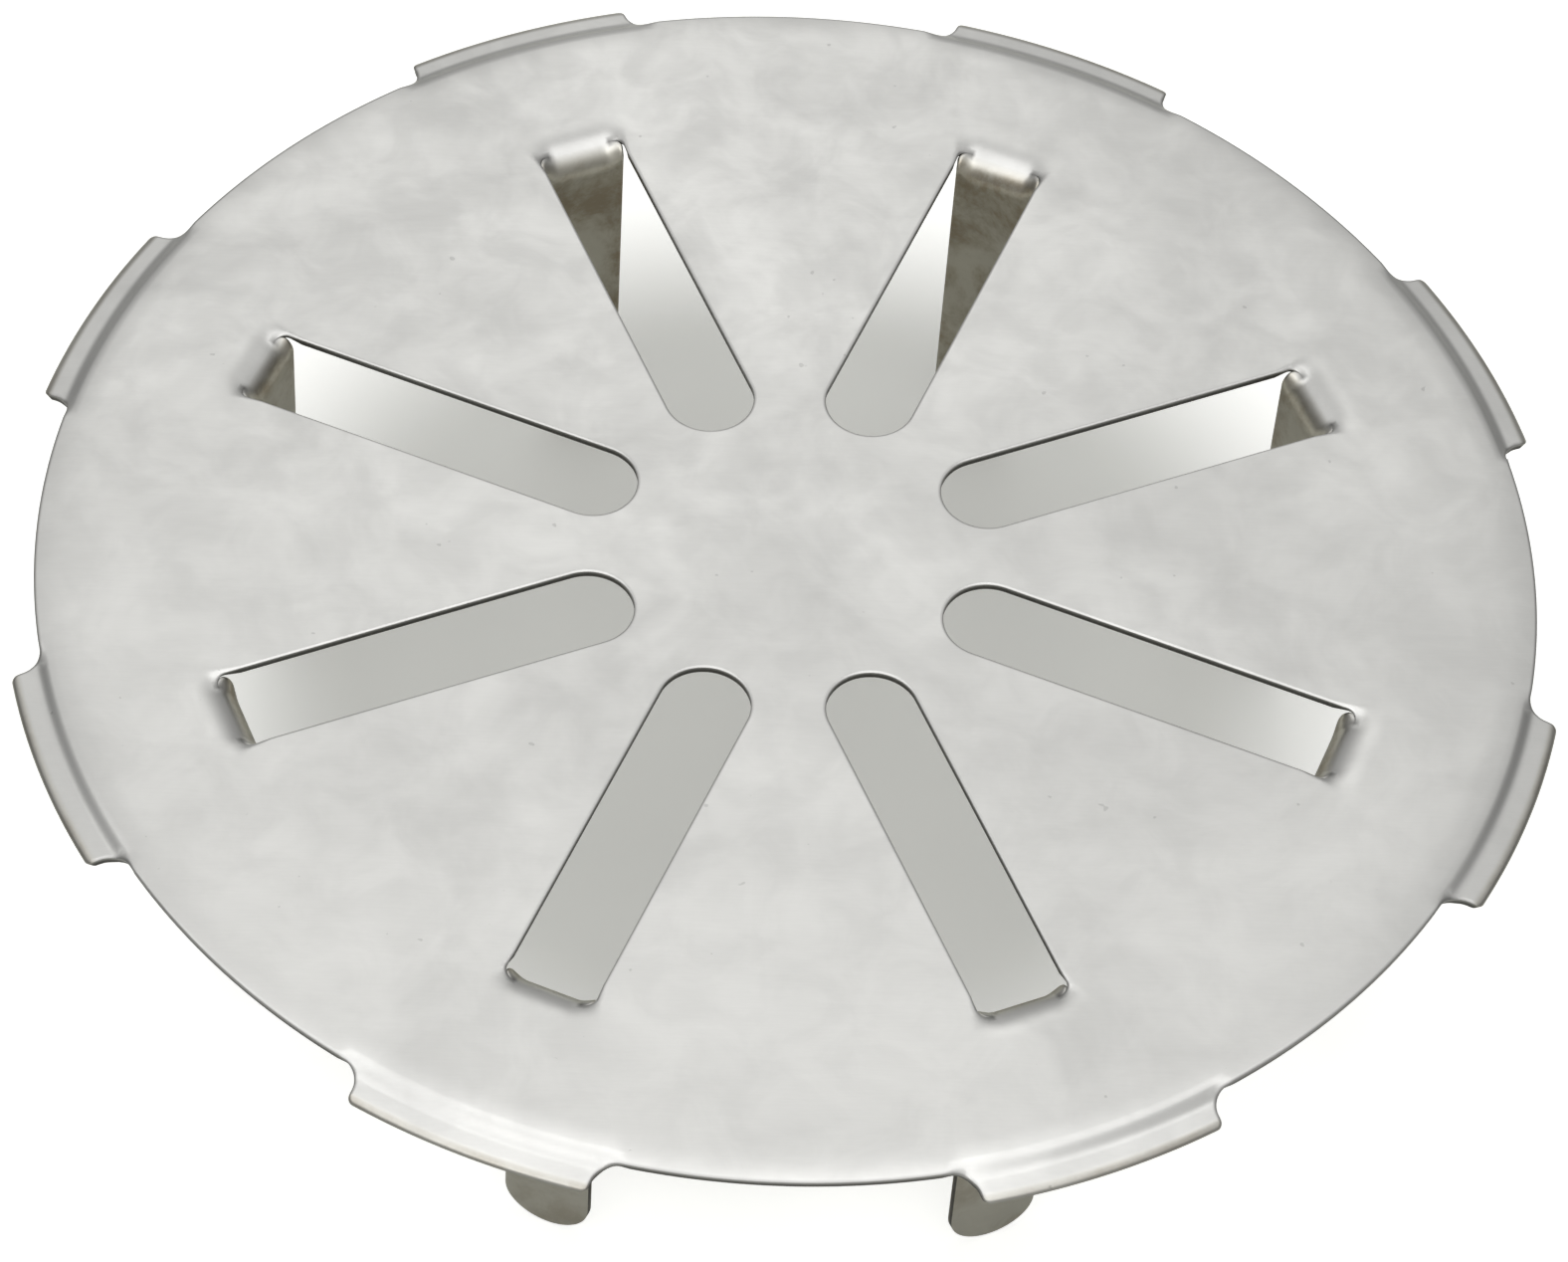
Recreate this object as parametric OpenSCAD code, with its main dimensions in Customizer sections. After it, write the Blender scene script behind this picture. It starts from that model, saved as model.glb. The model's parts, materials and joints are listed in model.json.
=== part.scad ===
// Snap-in floor drain grate, stamped from one stainless sheet.
// The stamping is drawn as the features that its tools cut and bend: the slotted plate, the
// stepped tabs on its rim, and the spring legs folded down out of the slots.
// Origin: on the axis, at the tips of the legs. +Z points up, out of the drain.

/* [Plate] */
// Thickness of the sheet
sheet_t = 0.6; // [0.5:0.05:0.8]
// Diameter of the round plate between its rim tabs
plate_d = 103.6; // [101:0.2:110]
// Number of slots, and of legs and rim tabs, which stand on the same spokes
spokes = 8; // [6:1:8]

/* [Slots and spring legs] */
// Width of each slot, and of the leg folded down out of it
slot_w = 6.3; // [5:0.1:7]
// Distance from the axis to the round inner end of a slot
slot_inner_r = 11.7; // [11:0.1:16]
// Distance from the axis to the line where a leg starts to bend
bend_line_r = 40.6; // [38:0.1:42]
// Radius of the bend on its inner side
bend_r = 0.65; // [0.5:0.05:1.2]
// Clearance round the half-round seat on which a leg turns under its bend
flex_gap = 0.03; // [0.02:0.01:0.06]

/* [Rim tabs] */
// Distance from the axis to the outer edge of the tabs
tab_r = 54; // [53.6:0.1:56]
// Width of a tab
tab_w = 16.7; // [12:0.1:20]
// Height that the lip of a tab sits below the plate
tab_drop = 0.6; // [0.4:0.05:0.7]
// Width of the sloping step between the plate and the lip
step_run = 1.3; // [1.2:0.05:1.4]
// Distance that the step starts inside the plate's round edge
step_inset = 0.5; // [0.4:0.05:0.6]
// Radius in the corner between a tab and the round edge
root_r = 1.6; // [1:0.1:2]
// Radius on the outer corners of a tab
corner_r = 0.5; // [0.3:0.1:0.8]

/* [Hidden] */
$fn = 96;
// Share of the sheet's thickness at which a bend neither stretches nor shrinks
neutral_share = 0.4;
// Amount that cutting shapes run past the material they cut
past = 1;
// Straight pieces in each arc of a tab's step
arc_steps = 6;
steel = [0.78, 0.78, 0.77];

plate_r = plate_d / 2;
spoke_step = 360 / spokes;
first_spoke = spoke_step / 2;

// A leg is as long as the slot that it was cut out of, less what its bend takes up.
bend_outer_r = bend_r + sheet_t;
bend_len = PI / 2 * (bend_r + neutral_share * sheet_t);
blade_h = bend_line_r - slot_inner_r - bend_len;
plate_z = blade_h + bend_r;
blade_in_r = bend_line_r - bend_outer_r;
// A leg flexes about this height, in the middle of the sheet's thickness.
flex_z = blade_h - sheet_t / 2 - flex_gap;

// The step of a tab is two equal and opposite arcs; this is their angle and middle radius.
step_r0 = plate_r - step_inset;
step_r1 = step_r0 + step_run;
step_angle = 2 * atan(tab_drop / step_run);
step_mid_r = step_run / (2 * sin(step_angle));

// Centres of the root arc, tangent to a tab's side and the round edge, and of the corner arc,
// tangent to the side and the outer edge.
half_w = tab_w / 2;
root_c = [sqrt(pow(plate_r + root_r, 2) - pow(half_w + root_r, 2)), half_w + root_r];
corner_c = [sqrt(pow(tab_r - corner_r, 2) - pow(half_w - corner_r, 2)), half_w - corner_r];
// Half the angle that a tab takes up at its root
tab_angle = atan2(root_c[1], root_c[0]);

TABS = [for (i = [1:spokes]) str("rim_tab_", i)];
BENDS = [for (i = [1:spokes]) str("leg_bend_", i)];
LEGS = [for (i = [1:spokes]) str("spring_leg_", i)];

// Turns a child that lies along +X onto spoke i.
module on_spoke(i) {
    rotate([0, 0, first_spoke + (i - 1) * spoke_step]) children();
}

// Sector of a circle of radius r, from angle a0 to a1, less than half a turn.
module sector(r, a0, a1) {
    reach = 2 * r;
    middle = (a0 + a1) / 2;
    intersection() {
        circle(r);
        polygon([
            [0, 0],
            reach * [cos(a0), sin(a0)],
            reach * [cos(middle), sin(middle)],
            reach * [cos(a1), sin(a1)]
        ]);
    }
}

// Bent sheet seen edge-on: the part of a ring between angles a0 and a1.
module bend_section(r_in, a0, a1) {
    difference() {
        sector(r_in + sheet_t, a0, a1);
        circle(r_in);
    }
}

// Slot seen from above: round at its inner end, square at the bend line.
module slot_outline() {
    translate([slot_inner_r + slot_w / 2, 0]) circle(slot_w / 2);
    translate([slot_inner_r + slot_w / 2, -slot_w / 2])
        square([bend_line_r - slot_inner_r - slot_w / 2, slot_w]);
}

// Space that a tab takes out of the round plate.
module tab_space() {
    difference() {
        sector(tab_r + past, -tab_angle, tab_angle);
        circle(step_r0);
    }
}

module slotted_plate() {
    color(steel)
    translate([0, 0, plate_z])
    linear_extrude(sheet_t)
    difference() {
        circle(plate_r);
        for (i = [1:spokes]) on_spoke(i) {
            slot_outline();
            tab_space();
        }
    }
}

// Material that fills the corner between a tab's side and the round edge.
module root_web() {
    on_side = [root_c[0], half_w];
    on_edge = root_c * plate_r / (plate_r + root_r);
    difference() {
        polygon([on_side, root_c, on_edge, [step_r0 - past, half_w - past]]);
        translate(root_c) circle(root_r);
    }
}

// Material outside the round outer corner of a tab.
module corner_waste() {
    far = 2 * corner_r;
    along_edge = corner_c / norm(corner_c) * far;
    translate(corner_c)
    difference() {
        polygon([[0, 0], [0, far], [far, far], along_edge]);
        circle(corner_r);
    }
}

// Tab seen from above.
module tab_outline() {
    intersection() {
        tab_space();
        difference() {
            union() {
                circle(plate_r);
                intersection() {
                    circle(tab_r);
                    translate([0, -half_w]) square([tab_r, tab_w]);
                }
                root_web();
                mirror([0, 1]) root_web();
            }
            corner_waste();
            mirror([0, 1]) corner_waste();
        }
    }
}

// Points on an arc about c, from angle a0 to a1, without its first point.
function arc(c, r, a0, a1) = [
    for (k = [1:arc_steps]) let (a = a0 + (a1 - a0) * k / arc_steps) c + r * [cos(a), sin(a)]
];

// Tab seen edge-on, with r along X: down-bend, up-bend, then the flat lip.
module tab_section() {
    down_c = [step_r0, sheet_t / 2 - step_mid_r];
    up_c = [step_r1, sheet_t / 2 - tab_drop + step_mid_r];
    outer_r = step_mid_r + sheet_t / 2;
    inner_r = step_mid_r - sheet_t / 2;
    lip_end = tab_r + past;
    top = concat(
        [[step_r0, sheet_t]],
        arc(down_c, outer_r, 90, 90 - step_angle),
        arc(up_c, inner_r, 270 - step_angle, 270)
    );
    underside = concat(
        [[step_r1, -tab_drop]],
        arc(up_c, outer_r, 270, 270 - step_angle),
        arc(down_c, inner_r, 90 - step_angle, 90)
    );
    polygon(concat(
        top,
        [[lip_end, sheet_t - tab_drop], [lip_end, -tab_drop]],
        underside
    ));
}

module rim_tab(i) {
    color(steel)
    on_spoke(i)
    translate([0, 0, plate_z])
    intersection() {
        rotate_extrude(angle = 2 * tab_angle, start = -tab_angle) tab_section();
        translate([0, 0, -tab_drop - past])
            linear_extrude(sheet_t + tab_drop + 2 * past) tab_outline();
    }
}

// Bend seen edge-on: a quarter turn down from the plate, with a hollow seat in its end.
module leg_bend_section() {
    end_z = flex_z - blade_h;
    difference() {
        union() {
            bend_section(bend_r, 90, 180);
            translate([-bend_outer_r, end_z]) square([sheet_t, -end_z]);
        }
        translate([sheet_t / 2 - bend_outer_r, end_z]) circle(sheet_t / 2 + flex_gap);
    }
}

// Bend that joins a leg to the outer end of its slot.
module leg_bend(i) {
    color(steel)
    on_spoke(i)
    translate([bend_line_r, 0, blade_h])
    rotate([90, 0, 0])
    linear_extrude(slot_w, center = true)
        leg_bend_section();
}

// Leg seen edge-on: a straight strip, half round at the top, where it turns in its seat.
module spring_leg_section() {
    square([sheet_t, flex_z]);
    translate([sheet_t / 2, flex_z]) circle(sheet_t / 2);
}

// Leg seen from the axis: round at its tip.
module spring_leg_outline() {
    tip_r = slot_w / 2;
    translate([0, tip_r]) circle(tip_r);
    translate([-tip_r, tip_r]) square([slot_w, blade_h]);
}

// Straight blade of a leg, which flexes inward when it is pushed into the pipe.
module spring_leg(i) {
    color(steel)
    on_spoke(i)
    translate([blade_in_r, 0, 0])
    intersection() {
        rotate([90, 0, 0]) linear_extrude(slot_w, center = true) spring_leg_section();
        translate([-past, 0, 0])
            rotate([90, 0, 90]) linear_extrude(sheet_t + 2 * past) spring_leg_outline();
    }
}

slotted_plate();
for (i = [1:spokes]) rim_tab(i);
for (i = [1:spokes]) leg_bend(i);
for (i = [1:spokes]) spring_leg(i);
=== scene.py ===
import json
import math
from itertools import repeat

import bpy
import numpy as np
from mathutils import Matrix, Vector
from mathutils.geometry import delaunay_2d_cdt


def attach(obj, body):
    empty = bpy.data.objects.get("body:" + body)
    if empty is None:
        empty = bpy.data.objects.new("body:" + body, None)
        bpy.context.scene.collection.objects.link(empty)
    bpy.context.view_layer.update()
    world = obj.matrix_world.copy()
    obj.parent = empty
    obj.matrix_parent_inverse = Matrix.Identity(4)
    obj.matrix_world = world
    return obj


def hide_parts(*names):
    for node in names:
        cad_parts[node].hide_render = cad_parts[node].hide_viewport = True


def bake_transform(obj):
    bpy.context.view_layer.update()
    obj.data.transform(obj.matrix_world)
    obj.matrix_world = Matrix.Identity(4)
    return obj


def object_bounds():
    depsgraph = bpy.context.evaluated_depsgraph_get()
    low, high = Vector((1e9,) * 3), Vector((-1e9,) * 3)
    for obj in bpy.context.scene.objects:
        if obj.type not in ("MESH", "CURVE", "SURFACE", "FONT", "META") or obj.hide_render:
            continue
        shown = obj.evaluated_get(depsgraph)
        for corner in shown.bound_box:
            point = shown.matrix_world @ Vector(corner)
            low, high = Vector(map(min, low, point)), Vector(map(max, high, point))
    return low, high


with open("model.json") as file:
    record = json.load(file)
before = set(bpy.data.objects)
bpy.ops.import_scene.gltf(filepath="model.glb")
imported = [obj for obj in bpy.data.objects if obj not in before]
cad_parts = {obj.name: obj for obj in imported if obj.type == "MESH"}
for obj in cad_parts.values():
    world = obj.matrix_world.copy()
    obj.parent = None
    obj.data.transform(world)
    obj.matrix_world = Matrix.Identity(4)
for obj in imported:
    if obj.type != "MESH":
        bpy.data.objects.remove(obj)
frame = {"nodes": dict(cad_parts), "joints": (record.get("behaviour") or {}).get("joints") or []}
cad_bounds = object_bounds()

# ---------------------------------------------------------------------------
# Measures read from the frame, in millimetres
# ---------------------------------------------------------------------------

MM = 0.001


def on_spoke(node, angle):
    """A CAD node's corners as (along the spoke, across it, up), in millimetres."""
    points = np.array([v.co for v in frame["nodes"][node].data.vertices], float) / MM
    cos_a, sin_a = math.cos(angle), math.sin(angle)
    along = points[:, 0] * cos_a + points[:, 1] * sin_a
    across = points[:, 1] * cos_a - points[:, 0] * sin_a
    return np.stack([along, across, points[:, 2]], axis=1)


JOINTS = sorted(frame["joints"], key=lambda joint: joint["name"])
PITCH = 2 * math.pi / len(JOINTS)
FIRST_SPOKE = math.atan2(JOINTS[0]["pos_m"][1], JOINTS[0]["pos_m"][0])
SPOKES = [FIRST_SPOKE + PITCH * n for n in range(len(JOINTS))]

_plate = on_spoke("slotted_plate", SPOKES[0])
_plate_rho = np.hypot(_plate[:, 0], _plate[:, 1])
_tab = on_spoke("rim_tab_1", SPOKES[0])
_tab_rho = np.hypot(_tab[:, 0], _tab[:, 1])
_bend = on_spoke("leg_bend_1", SPOKES[0])
_leg = on_spoke("spring_leg_1", SPOKES[0])

PLATE_TOP = _plate[:, 2].max()
SHEET = PLATE_TOP - _plate[:, 2].min()
PLATE_R = _plate_rho.max()
SLOT_INNER = _plate_rho.min()
SLOT_HALF = _leg[:, 1].max()
BEND_LINE = _bend[:, 0].max()
LEG_FACE = _leg[:, 0].min()
TAB_ROOT = _tab_rho.min()
TAB_R = _tab_rho.max()
TAB_HALF = _tab[_tab_rho > (PLATE_R + TAB_R) / 2, 1].max()

# ---------------------------------------------------------------------------
# Small shapes that the press leaves, in millimetres and degrees
# ---------------------------------------------------------------------------

# Rolled top of a sheared edge: its depth and width, and the width that stays level where the
# roll runs out. Then the share of the wall that is burnished, and how far its torn rest leans in
ROLL_DEPTH = 0.11
ROLL_WIDTH = 0.26
ROLL_LAND = 0.02
BURNISH = 0.45
BREAKOUT = 0.035
# Clearance between a leg and the slot that it was cut from
DIE_GAP = 0.04
# Radius at the outer corners of a slot, where the cut runs out into the bend
CUT_END_R = 0.8
# Radii of a tab's root and of its outer corners
ROOT_R = 1.6
CORNER_R = 0.5
# Centre of the root's arc, and half the angle that a tab takes up
ROOT_Y = TAB_HALF + ROOT_R
ROOT_X = math.sqrt((PLATE_R + ROOT_R) ** 2 - ROOT_Y ** 2)
TAB_ANGLE = math.atan2(ROOT_Y, ROOT_X)
# Hollow drawn into the plate outside each bend: its length, the half width of its level middle,
# the width over which its sides rise, and how much wider that gets towards its outer end
HOLLOW_LEN = 2.3
HOLLOW_HALF = 1.8
HOLLOW_FADE = 2.0
HOLLOW_WIDEN = 0.5
# Its slope at the bend line, and how fast it levels out
HOLLOW_SLOPE = 28
HOLLOW_POWER = 2.5
# Beside the slot it starts this far inside the bend line, and is whole after the next distance.
# From its outer end inward, its depth grows up to the last share of its length.
HOLLOW_BEFORE = 1.6
HOLLOW_RISE = 1.2
HOLLOW_LIMIT = 1.2
# Fall of the plate towards its rim: where it starts and the slope that it reaches, first between
# the tabs, then towards a tab
RIM_FALL_START = 48.3
RIM_FALL_SLOPE = 7
FALL_START = 49.0
FALL_SLOPE = 6
# Slopes of a tab's step, lip and drawn-down edge, and the distances where they change
STEP_START = 51.0
STEP_SLOPE = 30
STEP_FULL = 51.7
STEP_BREAK = 51.8
LIP_START = 52.5
LIP_SLOPE = 6
EDGE_START = 53.2
EDGE_SLOPE = 36
# The step is whole within this angle from its spoke, and fades out over the next
STEP_HALF_ANGLE = 9.6
STEP_FADE_ANGLE = 1.9
# Waviness of the flattened sheet: a quarter of the height from its lowest to its highest place
WAVE = 0.016
# Spacing of the distances at which the fall under a tab is summed up
TABLE_STEP = 0.01


def smooth(value):
    """Smooth step from 0 to 1."""
    value = np.clip(value, 0, 1)
    return value * value * (3 - 2 * value)


def step_slope(rho):
    """Downward slope of the rim under a tab, in degrees, at a distance from the axis."""
    fall = FALL_SLOPE * smooth((rho - FALL_START) / (STEP_START - FALL_START))
    steep = (STEP_SLOPE - FALL_SLOPE) * smooth((rho - STEP_START) / (STEP_FULL - STEP_START))
    ease = (STEP_SLOPE - LIP_SLOPE) * smooth((rho - STEP_BREAK) / (LIP_START - STEP_BREAK))
    edge = (EDGE_SLOPE - LIP_SLOPE) * smooth((rho - EDGE_START) / (TAB_R - EDGE_START))
    return fall + steep - ease + edge


_rho_table = np.arange(FALL_START, TAB_R + 1, TABLE_STEP)
_slope_table = np.radians(step_slope(_rho_table[:-1] + TABLE_STEP / 2))
_fall_table = np.concatenate([[0], np.cumsum(np.tan(_slope_table) * TABLE_STEP)])


def wave(x, y):
    """Slow waviness of the sheet, never above 0, from two ripples that don't repeat together."""
    short_ripple = np.sin(x / 7.1 + 1.3) * np.sin(y / 8.3 - 0.4)
    long_ripple = np.sin((x + y) / 12.7) * np.cos((x - 1.4 * y) / 10.9)
    return WAVE * (short_ripple + long_ripple - 2)


def nearest_spoke(x, y):
    """Distance from the axis, and angle from the nearest spoke, of points seen from above."""
    turn = np.arctan2(y, x) - FIRST_SPOKE
    return np.hypot(x, y), turn - PITCH * np.round(turn / PITCH)


def hollow(along, across):
    """Depth of the hollow outside a bend."""
    reach = np.clip(1 - (along - BEND_LINE) / HOLLOW_LEN, 0, HOLLOW_LIMIT)
    slope = math.tan(math.radians(HOLLOW_SLOPE))
    beside_slot = smooth((along - BEND_LINE + HOLLOW_BEFORE) / HOLLOW_RISE)
    depth = slope * HOLLOW_LEN / HOLLOW_POWER * reach ** HOLLOW_POWER * beside_slot
    spread = HOLLOW_FADE * (1 + HOLLOW_WIDEN * (1 - reach))
    return depth * (1 - smooth((np.abs(across) - HOLLOW_HALF) / spread))


def sheet_top(x, y):
    """Height of the plate's and the tabs' top face, without its rolled edges."""
    rho, turn = nearest_spoke(x, y)
    window = 1 - smooth((np.abs(np.degrees(turn)) - STEP_HALF_ANGLE) / STEP_FADE_ANGLE)
    step = np.interp(rho, _rho_table, _fall_table) * window
    run = PLATE_R - RIM_FALL_START
    rim = np.clip((rho - RIM_FALL_START) / run, 0, None) ** 3 * run / 3
    rim = rim * math.tan(math.radians(RIM_FALL_SLOPE)) * (1 - window)
    return PLATE_TOP + wave(x, y) - rim - step - hollow(rho * np.cos(turn), rho * np.sin(turn))


def plate_place(u, v):
    """Place of a point of the plate or a tab, whose flat pattern is its view from above."""
    return np.stack([u, v, sheet_top(u, v)], axis=-1)


class LegPlace:
    """Place of a point of one leg, from its flat pattern: u runs down the leg, v across it."""

    def __init__(self, angle):
        self.axis = np.array([math.cos(angle), math.sin(angle), 0.0])
        self.side = np.array([math.sin(angle), -math.cos(angle), 0.0])
        _, _, _, length, end = self.bend(np.zeros(1))
        self.tip_u = length[0] + end[0]

    def root(self, across, out=0.0):
        """Height of the sheet at the bend line, or a little outside it."""
        along = np.full_like(across, BEND_LINE + out)
        point = np.outer(along, self.axis) + np.outer(across, self.side)
        return sheet_top(point[:, 0], point[:, 1])

    def bend(self, across):
        """Start height, start angle, radius, length and end height of the bend."""
        top = self.root(across)
        step = 0.01
        start = np.arctan((self.root(across, step) - top) / step)
        radius = (BEND_LINE - LEG_FACE) / (1 - np.sin(start))
        return top, start, radius, radius * (math.pi / 2 - start), top - radius * np.cos(start)

    def __call__(self, u, v):
        """Places in space of points of the flat pattern."""
        top, start, radius, length, end = self.bend(v)
        turn = start + np.clip(u, None, length) / radius
        along = BEND_LINE - radius * (np.sin(turn) - np.sin(start))
        height = top - radius * (np.cos(start) - np.cos(turn))
        # The straight part is stretched a hair, so that its round tip stays round.
        round_z = SLOT_HALF
        stretch = (end - round_z) / (self.tip_u - round_z - length)
        above_tip = u < self.tip_u - round_z
        straight = np.where(above_tip, end - (u - length) * stretch, self.tip_u - u)
        height = np.where(u > length, straight, height)
        return np.outer(along, self.axis) + np.outer(v, self.side) + np.outer(height, [0, 0, 1])


def face_frame(place, u, v):
    """Points of a face, its normals and its two tangents."""
    step = 0.004
    point = place(u, v)
    along = (place(u + step, v) - place(u - step, v)) / (2 * step)
    across = (place(u, v + step) - place(u, v - step)) / (2 * step)
    normal = np.cross(along, across)
    normal /= np.linalg.norm(normal, axis=1)[:, None]
    return point, normal, along, across


# ---------------------------------------------------------------------------
# Flat patterns
# ---------------------------------------------------------------------------

# Stages of the roll from the sheared edge inward: angles of its curve, and distances from the edge
ROLL_ANGLES = np.radians([90, 66, 44, 22, 0])
ROLL_STEPS = ROLL_WIDTH * (1 - np.sin(ROLL_ANGLES))
# How much of the sheared face's dark look, as painted shade, a rolled edge takes on, and how fast
# that fades inward: at the slots, and at the outer edge, where the painted shade spreads wider
ROLL_CUT_AND_SHADE = 0.55
SHARP_SPREAD = 12
RIM_SHADE_SPREAD = 1.5
# Painted shade in the corners at the ends of a cut, where its roll runs out: how much of that dark
# look is on the flat sheet there
END_SHADE = 0.8
# Length over which the roll runs out there
CUT_FADE = 0.9
# Distances between the points of an edge: round its small corners, on a tab's roots and sides,
# round a slot or a leg's tip, on a tab's outer edge, on the plate's rim, and on a slot's sides
CORNER_STEP = 0.12
ROOT_STEP = 0.2
ROUND_STEP = 0.3
TAB_EDGE_STEP = 0.5
RIM_STEP = 0.6
SIDE_STEP = 1.0


def arc_points(centre, radius, start, end, step):
    """Points on an arc with their outward directions from its centre."""
    count = max(2, math.ceil(abs(end - start) * radius / step))
    angles = np.linspace(start, end, count + 1)
    out = np.stack([np.cos(angles), np.sin(angles)], axis=1)
    return np.array(centre) + radius * out, out


def line_points(start, end, step, out):
    """Points on a line, with the direction that points away from the sheet."""
    start, end = np.array(start, float), np.array(end, float)
    count = max(1, math.ceil(np.linalg.norm(end - start) / step))
    share = np.linspace(0, 1, count + 1)[:, None]
    return start + (end - start) * share, np.repeat([out], count + 1, axis=0)


def join_runs(runs):
    """Several stretches of edge as one, without the doubled points between them."""
    points, outs = [], []
    for run_points, run_outs in runs:
        skip = 1 if points and np.allclose(points[-1][-1], run_points[0], atol=1e-6) else 0
        points.append(run_points[skip:])
        outs.append(run_outs[skip:])
    return np.concatenate(points), np.concatenate(outs)


def with_mirror(points, outs):
    """A stretch of edge that ends on the first axis, and its mirror image after it."""
    flip = np.array([1, -1])
    return join_runs([(points, outs), ((points * flip)[::-1], (outs * flip)[::-1])])


# Distance at which points of a pattern count as one, and area of a triangle at which its points
# count as lying on one line
MERGE_GAP = 1e-7
SLIVER = 1e-5


def flat_area(corners):
    """Area of a flat face, above 0 when it runs anticlockwise."""
    ahead = np.roll(corners, -1, axis=0)
    return np.sum(corners[:, 0] * ahead[:, 1] - ahead[:, 0] * corners[:, 1]) / 2


class Pattern:
    """Flat pattern of one piece: points, the edges that its faces keep, and its boundary."""

    def __init__(self):
        self.points = []
        self.roll_angle = []
        self.roll_scale = []
        self.cut_look_and_shade = []
        self.out = []
        self.edges = []
        self.walls = []
        self._seen = {}

    def point(self, place, angle=0.0, scale=0.0, cut_look_and_shade=0.0, out=(0.0, 0.0)):
        """Number of the point at a place, which is made if it isn't there yet."""
        key = (round(place[0], 4), round(place[1], 4))
        if key not in self._seen:
            self._seen[key] = len(self.points)
            self.points.append((float(place[0]), float(place[1])))
            self.roll_angle.append(angle)
            self.roll_scale.append(scale)
            self.cut_look_and_shade.append(cut_look_and_shade)
            self.out.append((float(out[0]), float(out[1])))
        return self._seen[key]

    def keep(self, chain):
        """Makes the faces keep the edges along a chain of points."""
        self.edges += [(a, b) for a, b in zip(chain, chain[1:]) if a != b]

    def sheared(self, points, outs, scale=None, spread=SHARP_SPREAD):
        """A sheared edge, with the rings that its rolled top edge needs."""
        scale = np.ones(len(points)) if scale is None else scale
        rings = []
        for inset, angle in zip(ROLL_STEPS, ROLL_ANGLES):
            inner = points - outs * inset
            # Painted shade in the corners at the ends of the cut, and the sheared face's dark look
            # painted as shade on the roll
            end_shade = END_SHADE * (1 - scale) * (1 + math.sin(angle)) / 2
            cut_look_and_shade = np.maximum(ROLL_CUT_AND_SHADE * math.sin(angle) ** spread, end_shade)
            rows = zip(inner, repeat(angle), scale, cut_look_and_shade, outs)
            rings.append([self.point(*row) for row in rows])
            self.keep(rings[-1])
        for last in (0, -1):
            self.keep([ring[last] for ring in rings])
        self.walls += [(a, b, True) for a, b in zip(rings[0], rings[0][1:]) if a != b]

    def seam(self, points):
        """An edge where the sheet runs on into the next piece."""
        chain = [self.point(p) for p in points]
        self.keep(chain)
        self.walls += [(a, b, False) for a, b in zip(chain, chain[1:]) if a != b]

    def fill(self, points, clear):
        """Points inside the pattern, kept clear of the points that are there already."""
        there = np.array(self.points)
        for p in points:
            if np.min(np.sum((there - p) ** 2, axis=1)) > clear ** 2:
                self.point(p)

    def faces(self):
        """Faces of the pattern: triangles that keep its edges, without what lies outside."""
        points = [Vector(p) for p in self.points]
        places, _, faces, found, _, _ = delaunay_2d_cdt(points, self.edges, [], 0, MERGE_GAP)
        lost = [tuple(round(c, 3) for c in places[n]) for n, same in enumerate(found) if not same]
        if lost:
            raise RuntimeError(f"edges of the pattern cross at {lost[:12]}")
        back = [same[0] for same in found]
        faces = [[back[i] for i in face] for face in faces]
        flat = np.array(self.points)
        faces = [face for face in faces if abs(flat_area(flat[face])) > SLIVER]
        middles = np.array([flat[face].mean(axis=0) for face in faces])
        inside = inside_walls(middles, flat, [(a, b) for a, b, _ in self.walls])
        return [face for face, kept in zip(faces, inside) if kept]


def inside_walls(middles, flat, walls):
    """Which points lie inside the boundary, by how often a line from them crosses it."""
    a = flat[[w[0] for w in walls]]
    b = flat[[w[1] for w in walls]]
    crossings = np.zeros(len(middles), int)
    for (ax, ay), (bx, by) in zip(a, b):
        spans = (ay > middles[:, 1]) != (by > middles[:, 1])
        if ay != by:
            x = ax + (middles[:, 1] - ay) * (bx - ax) / (by - ay)
            crossings += spans & (middles[:, 0] < x)
    return crossings % 2 == 1


def turned(points, angle):
    """Points turned from the first axis onto a spoke."""
    cos_a, sin_a = math.cos(angle), math.sin(angle)
    return points @ np.array([[cos_a, sin_a], [-sin_a, cos_a]])


def grid(along, across):
    """All points of a grid, row by row."""
    return np.stack(np.meshgrid(along, across, indexing="ij"), axis=-1).reshape(-1, 2)


def polar(rho, turn):
    """Points at distances from the axis and angles round it."""
    return np.stack([rho * np.cos(turn), rho * np.sin(turn)], axis=1)


# ---------------------------------------------------------------------------
# Meshes
# ---------------------------------------------------------------------------

# Share of the painted shade that is on the outer face of a leg, and on the underside of a tab
BACK_SHADE_SHARE = 0.7


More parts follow.
